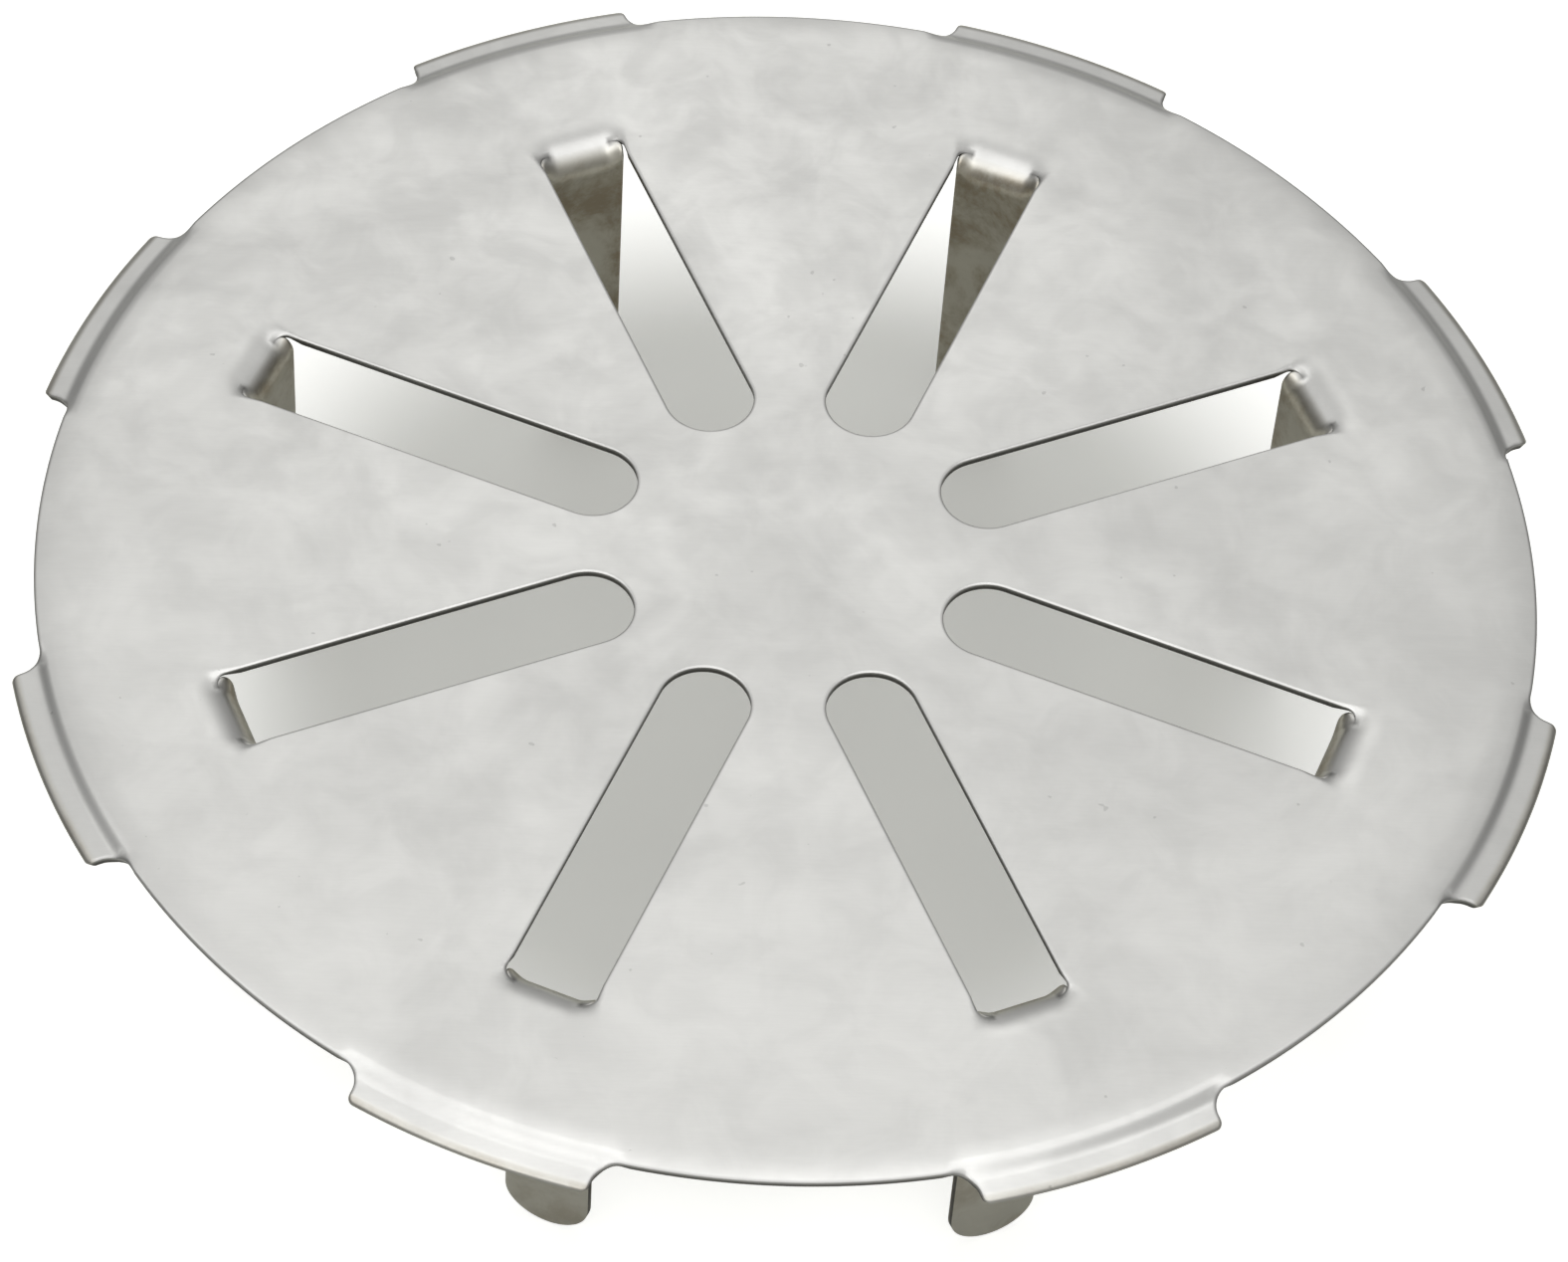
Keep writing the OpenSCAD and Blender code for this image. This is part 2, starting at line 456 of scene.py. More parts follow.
def build_piece(name, place, pattern, painted_shade_at=None):
    """A closed sheet over a flat pattern, with rolled and sheared edges.

    The last argument gives the share of painted shade at each place of the flat pattern.
    """
    faces = pattern.faces()
    uv = np.array(pattern.points)
    point, normal, along, across = face_frame(place, uv[:, 0], uv[:, 1])
    # Direction out of the sheet at each point of an edge, level with the sheet
    out = np.array(pattern.out)
    outward = along * out[:, :1] + across * out[:, 1:]
    outward -= normal * np.sum(outward * normal, axis=1)[:, None]
    outward /= np.maximum(np.linalg.norm(outward, axis=1), 1e-9)[:, None]
    # Both faces, and the line on a sheared wall between its burnished and its torn part
    angle = np.array(pattern.roll_angle)
    scale = np.array(pattern.roll_scale)
    depth = ROLL_DEPTH * scale
    top = point - normal * (depth * (1 - np.cos(angle)))[:, None]
    lean = (depth * np.sin(angle))[:, None]
    top_normal = outward * lean + normal * (ROLL_WIDTH * np.cos(angle) + ROLL_LAND)[:, None]
    top_normal /= np.linalg.norm(top_normal, axis=1)[:, None]
    bottom = point - normal * SHEET - outward * (BREAKOUT * scale * np.sin(angle))[:, None]
    on_wall = sorted({i for a, b, sheared in pattern.walls if sheared for i in (a, b)})
    middle_of = {i: n for n, i in enumerate(on_wall)}
    burnished = top[on_wall] * (1 - BURNISH) + bottom[on_wall] * BURNISH
    count = len(uv)
    vertices = np.concatenate([top, bottom, burnished])
    polygons, normals, cut = [], [], []

    def add(corners, corner_normals, corner_cuts):
        polygons.append(corners)
        normals.extend(corner_normals)
        cut.extend(corner_cuts)

    faces = [face if flat_area(uv[face]) > 0 else face[::-1] for face in faces]
    for face in faces:
        # The top faces carry the painted shade of the rolled edges and the cut ends
        add(face, [top_normal[i] for i in face], [pattern.cut_look_and_shade[i] for i in face])
        add([i + count for i in face[::-1]], [-normal[i] for i in face[::-1]], [0.0] * len(face))
    # Walls, turned the same way as the faces next to them
    directed = {edge for face in faces for edge in zip(face, face[1:] + face[:1])}
    for a, b, sheared in pattern.walls:
        if (a, b) not in directed:
            a, b = b, a
        if sheared:
            mid_a, mid_b = 2 * count + middle_of[a], 2 * count + middle_of[b]
            side = [outward[b], outward[a], outward[a], outward[b]]
            add([b, a, mid_a, mid_b], side, [ROLL_CUT_AND_SHADE, ROLL_CUT_AND_SHADE, 1.0, 1.0])
            add([mid_b, mid_a, a + count, b + count], side, [1.0] * 4)
        else:
            flat_side = np.cross(vertices[a] - vertices[b], -normal[a])
            flat_side /= np.linalg.norm(flat_side)
            corners = [b, a, a + count, b + count]
            corners[2:2] = [2 * count + middle_of[a]] if a in middle_of else []
            corners += [2 * count + middle_of[b]] if b in middle_of else []
            add(corners, [flat_side] * len(corners), [0.0] * len(corners))
    # Painted shade: darker and browner down a leg and towards a tab's outer edge, weaker on their
    # other face
    painted_shade = np.zeros(count) if painted_shade_at is None else painted_shade_at(uv[:, 0], uv[:, 1])
    painted_shade = np.concatenate([painted_shade, BACK_SHADE_SHARE * painted_shade, painted_shade[on_wall]])
    return finish_mesh(name, vertices, polygons, normals, cut, painted_shade)


def finish_mesh(name, vertices, polygons, normals, cut, painted_shade):
    """A piece with its places, its painted shade and its sheared faces' dark look, painted shade on
    the rolled edges, written on its mesh, without unused points.
    """
    used, corners = np.unique(np.concatenate(polygons), return_inverse=True)
    starts = np.cumsum([0] + [len(face) for face in polygons])
    polygons = [corners[a:b].tolist() for a, b in zip(starts, starts[1:])]
    vertices, painted_shade = vertices[used], painted_shade[used]
    mesh = bpy.data.meshes.new(name)
    mesh.from_pydata((vertices * MM).tolist(), [], polygons)
    place = mesh.attributes.new("place", "FLOAT_VECTOR", "POINT")
    place.data.foreach_set("vector", (vertices * MM).astype(np.float32).ravel())
    # Painted shade, and the sheared faces' dark look, which is painted shade on the rolled edges
    # and cut ends
    painted_shade_layer = mesh.attributes.new("painted_shade", "FLOAT", "POINT")
    painted_shade_layer.data.foreach_set("value", painted_shade.astype(np.float32))
    cut_and_shade_layer = mesh.attributes.new("cut", "FLOAT", "CORNER")
    cut_and_shade_layer.data.foreach_set("value", np.array(cut, np.float32))
    mesh.shade_smooth()
    mesh.normals_split_custom_set([tuple(n) for n in normals])
    mesh.update()
    piece = bpy.data.objects.new(name, mesh)
    bpy.context.scene.collection.objects.link(piece)
    return piece


# ---------------------------------------------------------------------------
# The plate
# ---------------------------------------------------------------------------

# Half the length of the seam with a bend, and the points along it. Then the angles of the points
# along the seam with a tab
SEAM_HALF = SLOT_HALF - CUT_END_R
SEAM_ACROSS = np.linspace(-SEAM_HALF, SEAM_HALF, 17)
TAB_SEAM_TURNS = np.linspace(-TAB_ANGLE, TAB_ANGLE, 45)
# Points in the hollow outside a bend: their spacing outward and across, how far they go on past
# the hollow's end and the slot's sides, and the room that they keep from other points
HOLLOW_STEPS = (0.22, 0.33)
HOLLOW_PAST = (0.6, 1.0)
HOLLOW_ROOM = 0.14
# Points beside the slot's outer corners: how far they go inward, their spacing, and their
# distances from the slot's side
BESIDE_LEN = 0.9
BESIDE_STEP = 0.25
BESIDE_GAPS = np.array([0.5, 0.75])
# The first set starts, and the second ends, this far outside the bend line.
BEND_GAP = 0.2
# Points where the plate falls towards a tab: how far inside the seam they start, their spacing
# inward, how far they go on past the start of the fall, how much wider than the tab they spread,
# and their room
FALL_GAP = 0.5
FALL_STEP = 0.7
FALL_PAST = 0.6
FALL_WIDEN = 1.25
FALL_ROOM = 0.4
# Points round the ends of a tab's seam: distances outward from its arc, angles from the spoke,
# and their room
SEAM_END_REACH = np.array([0.2, -0.1])
SEAM_END_TURNS = np.radians([11.1, 11.5, 11.9])
SEAM_END_ROOM = 0.12
# Points everywhere else: their spacing, their room, and how far they stay inside the rim
SPACING = 1.5
SPACING_ROOM = 0.75
RIM_GAP = 0.8


def slot_edge():
    """Sheared edge of a slot lying along the first axis, from one end of the bend to the other."""
    round_c = SLOT_INNER + SLOT_HALF
    side_end = BEND_LINE - CUT_END_R
    quarter = math.pi / 2
    points, outs = join_runs([
        arc_points([side_end, SEAM_HALF], CUT_END_R, 0, quarter, CORNER_STEP),
        line_points([side_end, SLOT_HALF], [round_c, SLOT_HALF], SIDE_STEP, [0, 1]),
        arc_points([round_c, 0], SLOT_HALF, quarter, 3 * quarter, ROUND_STEP),
        line_points([round_c, -SLOT_HALF], [side_end, -SLOT_HALF], SIDE_STEP, [0, -1]),
        arc_points([side_end, -SEAM_HALF], CUT_END_R, -quarter, 0, CORNER_STEP),
    ])
    # The sheet lies outside a slot, so what points away from the sheet points into the slot.
    return points, -outs


def roll_fade(points):
    """Share of the roll that is left at each point of a cut, which is none at its two ends."""
    ends = [points[0], points[-1]]
    gap = np.min([np.linalg.norm(points - end, axis=1) for end in ends], axis=0)
    return smooth(gap / CUT_FADE)


def tab_seam(angle):
    """Edge between the plate and a tab: out, along the arc and in again, seen from above."""
    side_rho = np.concatenate([PLATE_R - ROLL_STEPS, [TAB_ROOT]])
    first = polar(side_rho, -TAB_ANGLE)
    arc = polar(TAB_ROOT, TAB_SEAM_TURNS[1:-1])
    last = polar(side_rho[::-1], TAB_ANGLE)
    return turned(np.concatenate([first, arc, last]), angle)


def fill_hollow(pattern, angle):
    """Points in the hollow outside a bend, and beside the outer corners of its slot."""
    end = BEND_LINE + HOLLOW_LEN + HOLLOW_PAST[0]
    outward = np.arange(BEND_LINE + BEND_GAP, end, HOLLOW_STEPS[0])
    half = SLOT_HALF + HOLLOW_PAST[1]
    across = np.arange(-half, half, HOLLOW_STEPS[1])
    pattern.fill(turned(grid(outward, across), angle), HOLLOW_ROOM)
    inward = np.arange(BEND_LINE - BESIDE_LEN, BEND_LINE + BEND_GAP, BESIDE_STEP)
    beside = SLOT_HALF + BESIDE_GAPS
    pattern.fill(turned(grid(inward, [*-beside[::-1], *beside]), angle), HOLLOW_ROOM)


def fill_fall(pattern, angle):
    """Points where the plate falls towards a tab, and round the ends of the tab's seam."""
    inward = np.arange(TAB_ROOT - FALL_GAP, FALL_START - FALL_PAST, -FALL_STEP)
    rho, turn = grid(inward, TAB_SEAM_TURNS[::2] * FALL_WIDEN).T
    pattern.fill(polar(rho, turn + angle), FALL_ROOM)
    turns = [*-SEAM_END_TURNS[::-1], *SEAM_END_TURNS]
    rho, turn = grid(TAB_ROOT + SEAM_END_REACH, turns).T
    pattern.fill(polar(rho, turn + angle), SEAM_END_ROOM)


def plate_pattern():
    """Flat pattern of the plate, which is its view from above."""
    pattern = Pattern()
    points, outs = slot_edge()
    seam = np.stack([np.full_like(SEAM_ACROSS, BEND_LINE), SEAM_ACROSS], axis=1)
    for angle in SPOKES:
        pattern.sheared(turned(points, angle), turned(outs, angle), roll_fade(points))
        pattern.seam(turned(seam, angle))
        rim_start, rim_end = angle + TAB_ANGLE, angle + PITCH - TAB_ANGLE
        rim, rim_out = arc_points([0, 0], PLATE_R, rim_start, rim_end, RIM_STEP)
        pattern.sheared(rim, rim_out, spread=RIM_SHADE_SPREAD)
        pattern.seam(tab_seam(angle))
    for angle in SPOKES:
        fill_hollow(pattern, angle)
        fill_fall(pattern, angle)
    rows = np.arange(-PLATE_R, PLATE_R, SPACING * math.sqrt(3) / 2)
    columns = np.arange(-PLATE_R, PLATE_R, SPACING)
    lattice = [(x + SPACING / 2 * (n % 2), y) for n, y in enumerate(rows) for x in columns]
    lattice = np.array([p for p in lattice if math.hypot(*p) < PLATE_R - RIM_GAP])
    pattern.fill(lattice, SPACING_ROOM)
    return pattern


# ---------------------------------------------------------------------------
# The rim tabs
# ---------------------------------------------------------------------------

# Points inside a tab: their spacing outward, their room, and how far they stay inside the rolls
# of its sides and of the plate's rim
TAB_STEP = 0.13
TAB_ROOM = 0.09
TAB_SIDE_GAP = 0.08
TAB_RIM_GAP = 0.06


def tab_edge():
    """Sheared edge of a tab lying along the first axis, from one root to the other."""
    quarter = math.pi / 2
    corner_y = TAB_HALF - CORNER_R
    corner_x = math.sqrt((TAB_R - CORNER_R) ** 2 - corner_y ** 2)
    corner_turn = math.atan2(corner_y, corner_x)
    root, to_centre = arc_points([ROOT_X, -ROOT_Y], ROOT_R, math.pi - TAB_ANGLE, quarter, ROOT_STEP)
    return with_mirror(*join_runs([
        (root, -to_centre),
        line_points([ROOT_X, -TAB_HALF], [corner_x, -TAB_HALF], ROOT_STEP, [0, -1]),
        arc_points([corner_x, -corner_y], CORNER_R, -quarter, -corner_turn, CORNER_STEP),
        arc_points([0, 0], TAB_R, -corner_turn, 0, TAB_EDGE_STEP),
    ]))


def tab_pattern(angle):
    """Flat pattern of a tab, which is its view from above."""
    pattern = Pattern()
    points, outs = tab_edge()
    pattern.sheared(turned(points, angle), turned(outs, angle), spread=RIM_SHADE_SPREAD)
    pattern.seam(tab_seam(angle))
    outward = np.arange(TAB_ROOT + TAB_STEP, TAB_R - ROLL_WIDTH, TAB_STEP)
    rho, turn = grid(outward, TAB_SEAM_TURNS[1:-1]).T
    inside = polar(rho, turn)
    off_sides = np.abs(inside[:, 1]) < TAB_HALF - ROLL_WIDTH - TAB_SIDE_GAP
    off_rim = rho < PLATE_R - ROLL_WIDTH - TAB_RIM_GAP
    pattern.fill(turned(inside[off_sides | off_rim], angle), TAB_ROOM)
    return pattern


# ---------------------------------------------------------------------------
# The legs
# ---------------------------------------------------------------------------

# Half width of a leg, and radius of the corners at its root
LEG_HALF = SLOT_HALF - DIE_GAP
LEG_ROOT_R = CUT_END_R - DIE_GAP
# Length from the bend line within which the points of a leg stand close, for its bend
BEND_PART = 4.0
# Points inside a leg: spacing down the bend and the straight part, how far they stay above the
# tip, places across, and their room
BEND_ROW = 0.15
STRAIGHT_ROW = 1.0
TIP_ROWS_GAP = 0.5
LEG_COLUMNS = np.linspace(-2.6, 2.6, 15)
LEG_ROOM = 0.1
# How far they stay inside the rolls of its tip and sides, and of its root corners
LEG_SIDE_GAP = 0.1
LEG_ROOT_GAP = 0.06


def leg_edge(tip_c):
    """Sheared edge of a leg: from its root down one side, round the tip and up again."""
    quarter = math.pi / 2
    in_bend = np.arange(LEG_ROOT_R, BEND_PART, ROOT_STEP)
    down = np.concatenate([in_bend, np.arange(BEND_PART, tip_c, SIDE_STEP), [tip_c]])
    side = np.stack([down, np.full_like(down, LEG_HALF)], axis=1)
    return with_mirror(*join_runs([
        arc_points([LEG_ROOT_R, SEAM_HALF], LEG_ROOT_R, math.pi, quarter, CORNER_STEP),
        (side, np.repeat([[0.0, 1.0]], len(side), axis=0)),
        arc_points([tip_c, 0], LEG_HALF, quarter, 0, ROUND_STEP),
    ]))


def leg_pattern(place):
    """Flat pattern of a leg: u runs down it from the bend line, v across it."""
    pattern = Pattern()
    tip_c = place.tip_u - SLOT_HALF
    points, outs = leg_edge(tip_c)
    pattern.sheared(points, outs, roll_fade(points))
    pattern.seam(np.stack([np.zeros_like(SEAM_ACROSS), SEAM_ACROSS], axis=1))
    bend_rows = np.arange(BEND_ROW, BEND_PART, BEND_ROW)
    straight_rows = np.arange(BEND_PART, place.tip_u - TIP_ROWS_GAP, STRAIGHT_ROW)
    inside = grid(np.concatenate([bend_rows, straight_rows]), LEG_COLUMNS)
    down, across = inside[:, 0], np.abs(inside[:, 1])
    from_tip = np.hypot(np.maximum(down - tip_c, 0), across)
    from_root = np.hypot(np.minimum(down - LEG_ROOT_R, 0), np.maximum(across - SEAM_HALF, 0))
    off_sides = from_tip < LEG_HALF - ROLL_WIDTH - LEG_SIDE_GAP
    off_root = from_root < LEG_ROOT_R - ROLL_WIDTH - LEG_ROOT_GAP
    pattern.fill(inside[off_sides & off_root], LEG_ROOM)
    return pattern


# ---------------------------------------------------------------------------
# Materials
# ---------------------------------------------------------------------------


class Nodes:
    """Short calls for making shader nodes and joining them."""

    def __init__(self, tree):
        self.tree = tree

    def make(self, kind, inputs=None, **settings):
        node = self.tree.nodes.new(kind)
        for key, value in settings.items():
            setattr(node, key, value)
        for key, value in (inputs or {}).items():
            self.put(node.inputs[key], value)
        return node

    def put(self, socket, value):
        """Sets a socket, or joins another node's output to it."""
        if isinstance(value, bpy.types.NodeSocket):
            self.tree.links.new(value, socket)
        else:
            socket.default_value = value

    def noise(self, vector, scale, detail=2.0, roughness=0.5, distortion=0.0):
        node = self.make("ShaderNodeTexNoise", {"Vector": vector, "Scale": scale, "Detail": detail,
                                                "Roughness": roughness, "Distortion": distortion})
        return node.outputs["Fac"]

    def ramp(self, value, low, high, out_low=0.0, out_high=1.0):
        """Smooth change from out_low to out_high while a value goes from low to high."""
        node = self.make("ShaderNodeMapRange", {"Value": value, "From Min": low, "From Max": high,
                                                "To Min": out_low, "To Max": out_high},
                         interpolation_type="SMOOTHSTEP")
        return node.outputs["Result"]

    def math(self, operation, a, b=0.0):
        return self.make("ShaderNodeMath", {0: a, 1: b}, operation=operation).outputs[0]

    def plus(self, a, b):
        return self.math("ADD", a, b)

    def minus(self, a, b):
        return self.math("SUBTRACT", a, b)

    def times(self, a, b):
        return self.math("MULTIPLY", a, b)

    def mix(self, factor, a, b):
        node = self.make("ShaderNodeMix", data_type="RGBA")
        self.put(node.inputs["Factor"], factor)
        self.put(node.inputs["A"], a)
        self.put(node.inputs["B"], b)
        return node.outputs["Result"]

    def stretch(self, vector, scale):
        node = self.make("ShaderNodeMapping", {"Vector": vector, "Scale": scale})
        return node.outputs["Vector"]


# Colours of the clean sheet, of the painted shade on the legs and tab edges, of the brownish
# painted reflection in it, and of sheared faces, whose dark is partly painted shade
SHEET_TONE = (0.665, 0.662, 0.645, 1.0)
PAINTED_SHADE_TONE = (0.52, 0.50, 0.435, 1.0)
BROWN_REFLECTION_TONE = (0.29, 0.24, 0.17, 1.0)
CUT_AND_SHADE_TONE = (0.075, 0.073, 0.068, 1.0)
# How much of their colour the brownish painted reflection and the sheared faces, dark partly by
# painted shade, take on
BROWN_REFLECTION_SHARE = 0.85
CUT_AND_SHADE_SHARE = 0.93


def stainless():
    """Satin stainless sheet: cloudy, with rolling grain, small pits, painted shade with brownish
    painted reflection, and rough cuts darkened partly by painted shade.
    """
    material = bpy.data.materials.new("stainless_sheet")
    material.use_nodes = True
    tree = material.node_tree
    tree.nodes.clear()
    n = Nodes(tree)
    output = n.make("ShaderNodeOutputMaterial")
    shader = n.make("ShaderNodeBsdfPrincipled", {"Metallic": 1.0})
    tree.links.new(shader.outputs["BSDF"], output.inputs["Surface"])
    place = n.make("ShaderNodeAttribute", attribute_name="place").outputs["Vector"]
    cut = n.make("ShaderNodeAttribute", attribute_name="cut").outputs["Fac"]
    painted_shade = n.make("ShaderNodeAttribute", attribute_name="painted_shade").outputs["Fac"]

    # The grain runs along the sheet, the same way on every piece.
    clouds = n.noise(place, scale=48, detail=5, roughness=0.6, distortion=0.8)
    patches = n.noise(place, scale=210, detail=4, roughness=0.6, distortion=0.6)
    grain = n.noise(n.stretch(place, (500, 7000, 5000)), scale=1, detail=3, roughness=0.6)
    fine = n.noise(place, scale=5200, detail=2, roughness=0.6)
    pits = n.ramp(n.noise(place, scale=1100, detail=1, roughness=0.4), 0.80, 0.83)

    # Lightness
    light = n.ramp(clouds, 0.3, 0.7, 0.93, 1.04)
    light = n.times(light, n.ramp(patches, 0.3, 0.7, 0.965, 1.03))
    light = n.times(light, n.ramp(grain, 0.2, 0.8, 0.985, 1.012))
    light = n.times(light, n.ramp(pits, 0.0, 1.0, 1.0, 0.82))

    # Colour
    # Painted shade on the legs and tab edges, with brownish painted reflection in blotches, then
    # the sheared faces' dark look, partly painted shade
    reflection_blots = n.ramp(n.noise(place, scale=190, detail=5, roughness=0.7, distortion=0.3), 0.40, 0.66)
    tone = n.mix(painted_shade, SHEET_TONE, PAINTED_SHADE_TONE)
    reflection_blots = n.times(reflection_blots, n.times(painted_shade, painted_shade))
    tone = n.mix(n.times(reflection_blots, BROWN_REFLECTION_SHARE), tone, BROWN_REFLECTION_TONE)
    tone = n.mix(n.times(cut, CUT_AND_SHADE_SHARE), tone, CUT_AND_SHADE_TONE)
    base = n.make("ShaderNodeVectorMath", {0: tone}, operation="SCALE")
    n.put(base.inputs["Scale"], light)
    n.put(shader.inputs["Base Color"], base.outputs["Vector"])

    # Gloss
    rough = n.ramp(clouds, 0.3, 0.7, 0.35, 0.30)
    rough = n.plus(rough, n.ramp(patches, 0.3, 0.7, 0.025, -0.025))
    rough = n.plus(rough, n.times(cut, 0.15))
    n.put(shader.inputs["Roughness"], rough)

    # Relief: grain, pits, and tears that run down the sheared faces
    relief = n.plus(n.times(grain, 0.4), n.times(fine, 0.2))
    relief = n.minus(relief, n.times(pits, 1.5))
    tears = n.noise(n.stretch(place, (9000, 9000, 900)), scale=1, detail=2, roughness=0.6)
    relief = n.plus(relief, n.times(n.times(tears, cut), 5.0))
    bump = n.make("ShaderNodeBump", {"Height": relief, "Strength": 0.35, "Distance": 0.00001})
    tree.links.new(bump.outputs["Normal"], shader.inputs["Normal"])
    return material


# ---------------------------------------------------------------------------
# Pieces
# ---------------------------------------------------------------------------

# How much painted shade darkens a tab's drawn-down edge, and over what distance it comes in
EDGE_SHADE = 0.55
EDGE_SHADE_RUN = 0.45
# Distances down from the bend line between which a leg gets its painted shade, darker and browner
DARK_FROM = -0.2
DARK_TO = 1.2


def leg_painted_shade(down, _across):
    """Share of the painted shade at a distance down a leg."""
    return smooth((down - DARK_FROM) / (DARK_TO - DARK_FROM))


def tab_painted_shade(x, y):
    """Share of the painted shade towards the outer edge of a tab."""
    return EDGE_SHADE * smooth((np.hypot(x, y) - EDGE_START) / EDGE_SHADE_RUN)


steel = stainless()
plate = build_piece("slotted_plate_stamping", plate_place, plate_pattern())
plate.data.materials.append(steel)
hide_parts("slotted_plate")
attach(plate, "grate")

for number, angle in enumerate(SPOKES, start=1):
    tab = build_piece(f"rim_tab_stamping_{number}", plate_place, tab_pattern(angle), tab_painted_shade)
    tab.data.materials.append(steel)
    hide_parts(f"rim_tab_{number}")
    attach(tab, "grate")

    leg_place = LegPlace(angle)
    leg = build_piece(f"spring_leg_stamping_{number}", leg_place, leg_pattern(leg_place), leg_painted_shade)
    leg.data.materials.append(steel)
    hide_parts(f"leg_bend_{number}", f"spring_leg_{number}")
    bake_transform(leg)

# ---------------------------------------------------------------------------
# Floor, light and camera
# ---------------------------------------------------------------------------

# Half width of the floor, and its distance below the legs, in metres
FLOOR_HALF = 2.5
FLOOR_GAP = 0.00005
FLOOR_TONE = (0.8, 0.805, 0.76, 1)
# To the camera the floor glows, weakly under the grate and more outside it: the middle of the
# weak part, the distances from it between which the glow grows, and its two strengths
GLOW_CENTRE = (0, 0.014, 0)
GLOW_FROM = 0.030
GLOW_TO = 0.052
GLOW_UNDER = 0.18
GLOW_AROUND = 0.66
# Brightness of the surroundings at the horizon in front and behind, what is added far behind,
# the brightness halfway up, and what is taken off again overhead
FRONT_GLOW = 0.72
BACK_GLOW = 0.40
FAR_BACK_GLOW = 0.14
HALFWAY_GLOW = 1.41
OVERHEAD_LOSS = -0.50
# Share of that which is left a little to the left and right, and again at the far sides
LEFT_SHARE = 0.60
RIGHT_SHARE = 0.58
FAR_SIDE_SHARE = 0.72
# A softbox adds its light to the surroundings behind it, so only this share is left there.
BEHIND_SHARE = 0.12
# Softbox overhead, a little to the front and left: size and place in metres, power in watts
SOFTBOX_SIZE = (0.54, 0.59)
SOFTBOX_PLACE = (-0.07, -0.155, 0.48)
SOFTBOX_POWER = 1.36


def make_floor():
    """Plain pale floor just below the legs."""
    mesh = bpy.data.meshes.new("floor")
    signs = ((-1, -1), (1, -1), (1, 1), (-1, 1))
    mesh.from_pydata([(x * FLOOR_HALF, y * FLOOR_HALF, 0) for x, y in signs], [], [(0, 1, 2, 3)])
    floor = bpy.data.objects.new("floor", mesh)
    floor.location.z = cad_bounds[0].z - FLOOR_GAP
    bpy.context.scene.collection.objects.link(floor)
    material = bpy.data.materials.new("pale_floor")
    material.use_nodes = True
    shader = material.node_tree.nodes["Principled BSDF"]
    shader.inputs["Base Color"].default_value = FLOOR_TONE
    shader.inputs["Roughness"].default_value = 0.9
    shader.inputs["Specular IOR Level"].default_value = 0.1
    shader.inputs["Emission Color"].default_value = (1, 1, 1, 1)
    n = Nodes(material.node_tree)
    place = n.make("ShaderNodeNewGeometry").outputs["Position"]
    reach = n.make("ShaderNodeVectorMath", {0: place, 1: GLOW_CENTRE}, operation="DISTANCE")
    seen = n.make("ShaderNodeLightPath").outputs["Is Camera Ray"]
    glow = n.ramp(reach.outputs["Value"], GLOW_FROM, GLOW_TO, GLOW_UNDER, GLOW_AROUND)
    n.put(shader.inputs["Emission Strength"], n.times(glow, seen))
    mesh.materials.append(material)


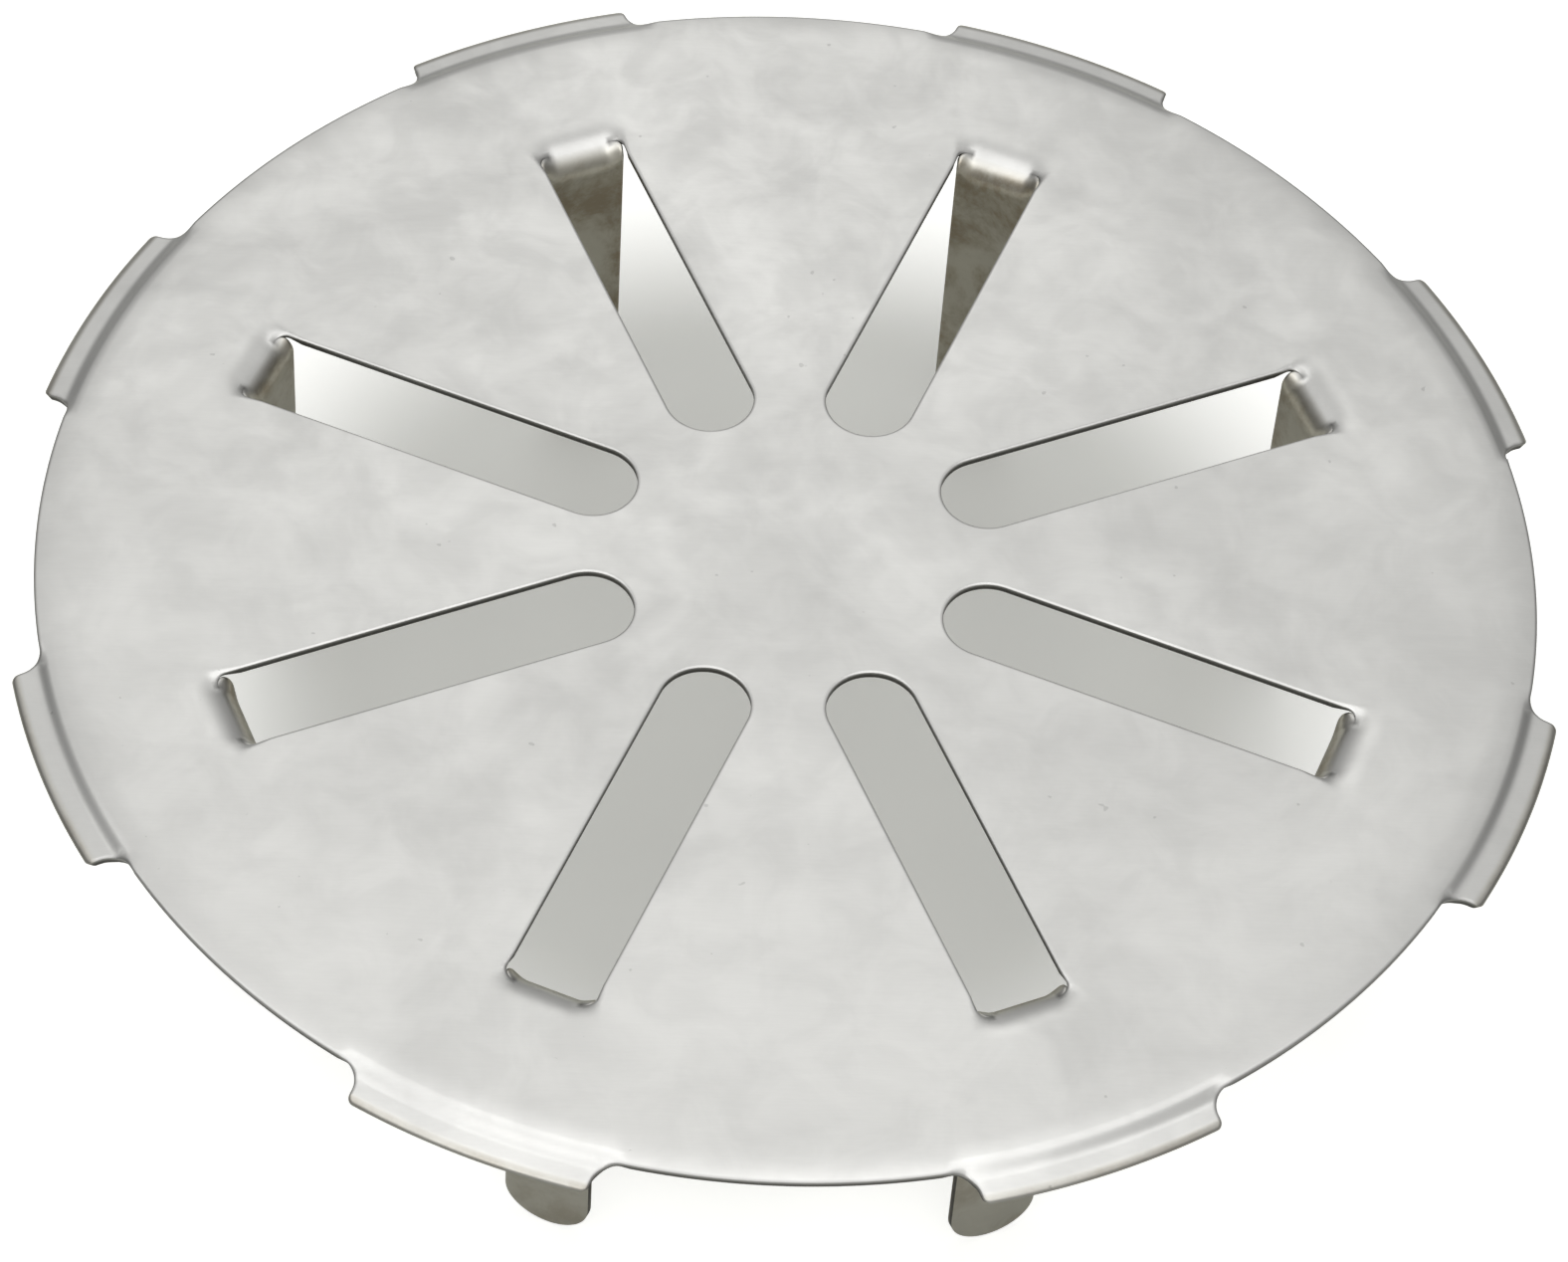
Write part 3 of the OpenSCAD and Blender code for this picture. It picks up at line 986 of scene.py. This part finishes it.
def make_world():
    """Studio surroundings, brightest halfway up in front and behind.

    Each ramp follows one part of a direction: X to the right, Y to the back and Z up.
    """
    world = bpy.data.worlds.new("studio")
    bpy.context.scene.world = world
    world.use_nodes = True
    tree = world.node_tree
    n = Nodes(tree)
    background = tree.nodes["Background"]
    direction = n.make("ShaderNodeTexCoord").outputs["Generated"]
    parts = n.make("ShaderNodeSeparateXYZ", {"Vector": direction}).outputs
    right, back, up = parts["X"], parts["Y"], parts["Z"]

    horizon = n.ramp(back, -0.6, 0.1, FRONT_GLOW, BACK_GLOW)
    horizon = n.plus(horizon, n.ramp(back, 0.45, 0.9, 0.0, FAR_BACK_GLOW))
    rise = n.ramp(up, 0.38, 0.72)
    glow = n.plus(horizon, n.times(n.minus(HALFWAY_GLOW, horizon), rise))
    overhead = n.ramp(up, 0.74, 0.88, 0.0, OVERHEAD_LOSS)
    left_side = n.ramp(right, -0.25, 0.0, LEFT_SHARE, 1.0)
    right_side = n.ramp(right, 0.0, 0.28, 1.0, RIGHT_SHARE)
    sides = n.times(left_side, right_side)
    far_sides = n.ramp(n.math("ABSOLUTE", right), 0.5, 0.75, 1.0, FAR_SIDE_SHARE)

    # Where the softbox hangs: high up, not far back, and near its middle from left to right
    from_middle = n.math("ABSOLUTE", n.plus(right, 0.12))
    behind = n.times(n.ramp(up, 0.80, 0.90), n.ramp(back, 0.14, 0.32, 1.0, 0.0))
    behind = n.times(behind, n.ramp(from_middle, 0.30, 0.45, 1.0, 0.0))
    sides = n.times(sides, n.ramp(behind, 0.0, 1.0, 1.0, BEHIND_SHARE))

    glow = n.times(n.plus(glow, overhead), n.times(sides, far_sides))
    # The camera itself sees plain white.
    seen = n.make("ShaderNodeLightPath").outputs["Is Camera Ray"]
    n.put(background.inputs["Strength"], n.math("MAXIMUM", glow, seen))
    background.inputs["Color"].default_value = (1.0, 1.0, 0.99, 1)


def make_softbox():
    """The one lamp, which shines straight down."""
    light = bpy.data.lights.new("softbox", "AREA")
    light.shape = "RECTANGLE"
    light.size, light.size_y = SOFTBOX_SIZE
    light.energy = SOFTBOX_POWER
    lamp = bpy.data.objects.new("softbox", light)
    lamp.location = SOFTBOX_PLACE
    bpy.context.scene.collection.objects.link(lamp)


# Camera: angles round the axis, above the plate and about its own line of sight, in degrees,
# distance in metres and lens in millimetres
CAMERA_AZIMUTH = 3.11
CAMERA_ELEVATION = 51.27
CAMERA_ROLL = 4.27
CAMERA_DISTANCE = 0.3802
CAMERA_LENS = 127.99
# Point level with the plate's top that it aims at: to the right of the axis and behind it
AIM_RIGHT = 0.00006
AIM_BACK = -0.00729


def make_camera():
    """Camera in front of the grate, looking down on it."""
    elevation, roll = math.radians(CAMERA_ELEVATION), math.radians(CAMERA_ROLL)
    forward = Vector((0, math.cos(elevation), -math.sin(elevation)))
    right, up = Vector((1, 0, 0)), Vector((0, math.sin(elevation), math.cos(elevation)))
    camera_x = right * math.cos(roll) + up * math.sin(roll)
    camera_y = up * math.cos(roll) - right * math.sin(roll)
    target = Vector((AIM_RIGHT, AIM_BACK, PLATE_TOP * MM))
    place = target - forward * CAMERA_DISTANCE
    turn = -math.radians(CAMERA_AZIMUTH)

    def round_axis(v):
        cos_t, sin_t = math.cos(turn), math.sin(turn)
        return Vector((v.x * cos_t - v.y * sin_t, v.x * sin_t + v.y * cos_t, v.z))

    axes = [round_axis(v) for v in (camera_x, camera_y, -forward)]
    data = bpy.data.cameras.new("camera")
    data.lens = CAMERA_LENS
    data.sensor_width = 36
    data.clip_start = 0.01
    camera = bpy.data.objects.new("camera", data)
    camera.matrix_world = Matrix.Translation(round_axis(place)) @ Matrix(axes).transposed().to_4x4()
    bpy.context.scene.collection.objects.link(camera)
    bpy.context.scene.camera = camera


make_floor()
make_world()
make_softbox()
make_camera()
bpy.context.scene.view_settings.view_transform = "Standard"
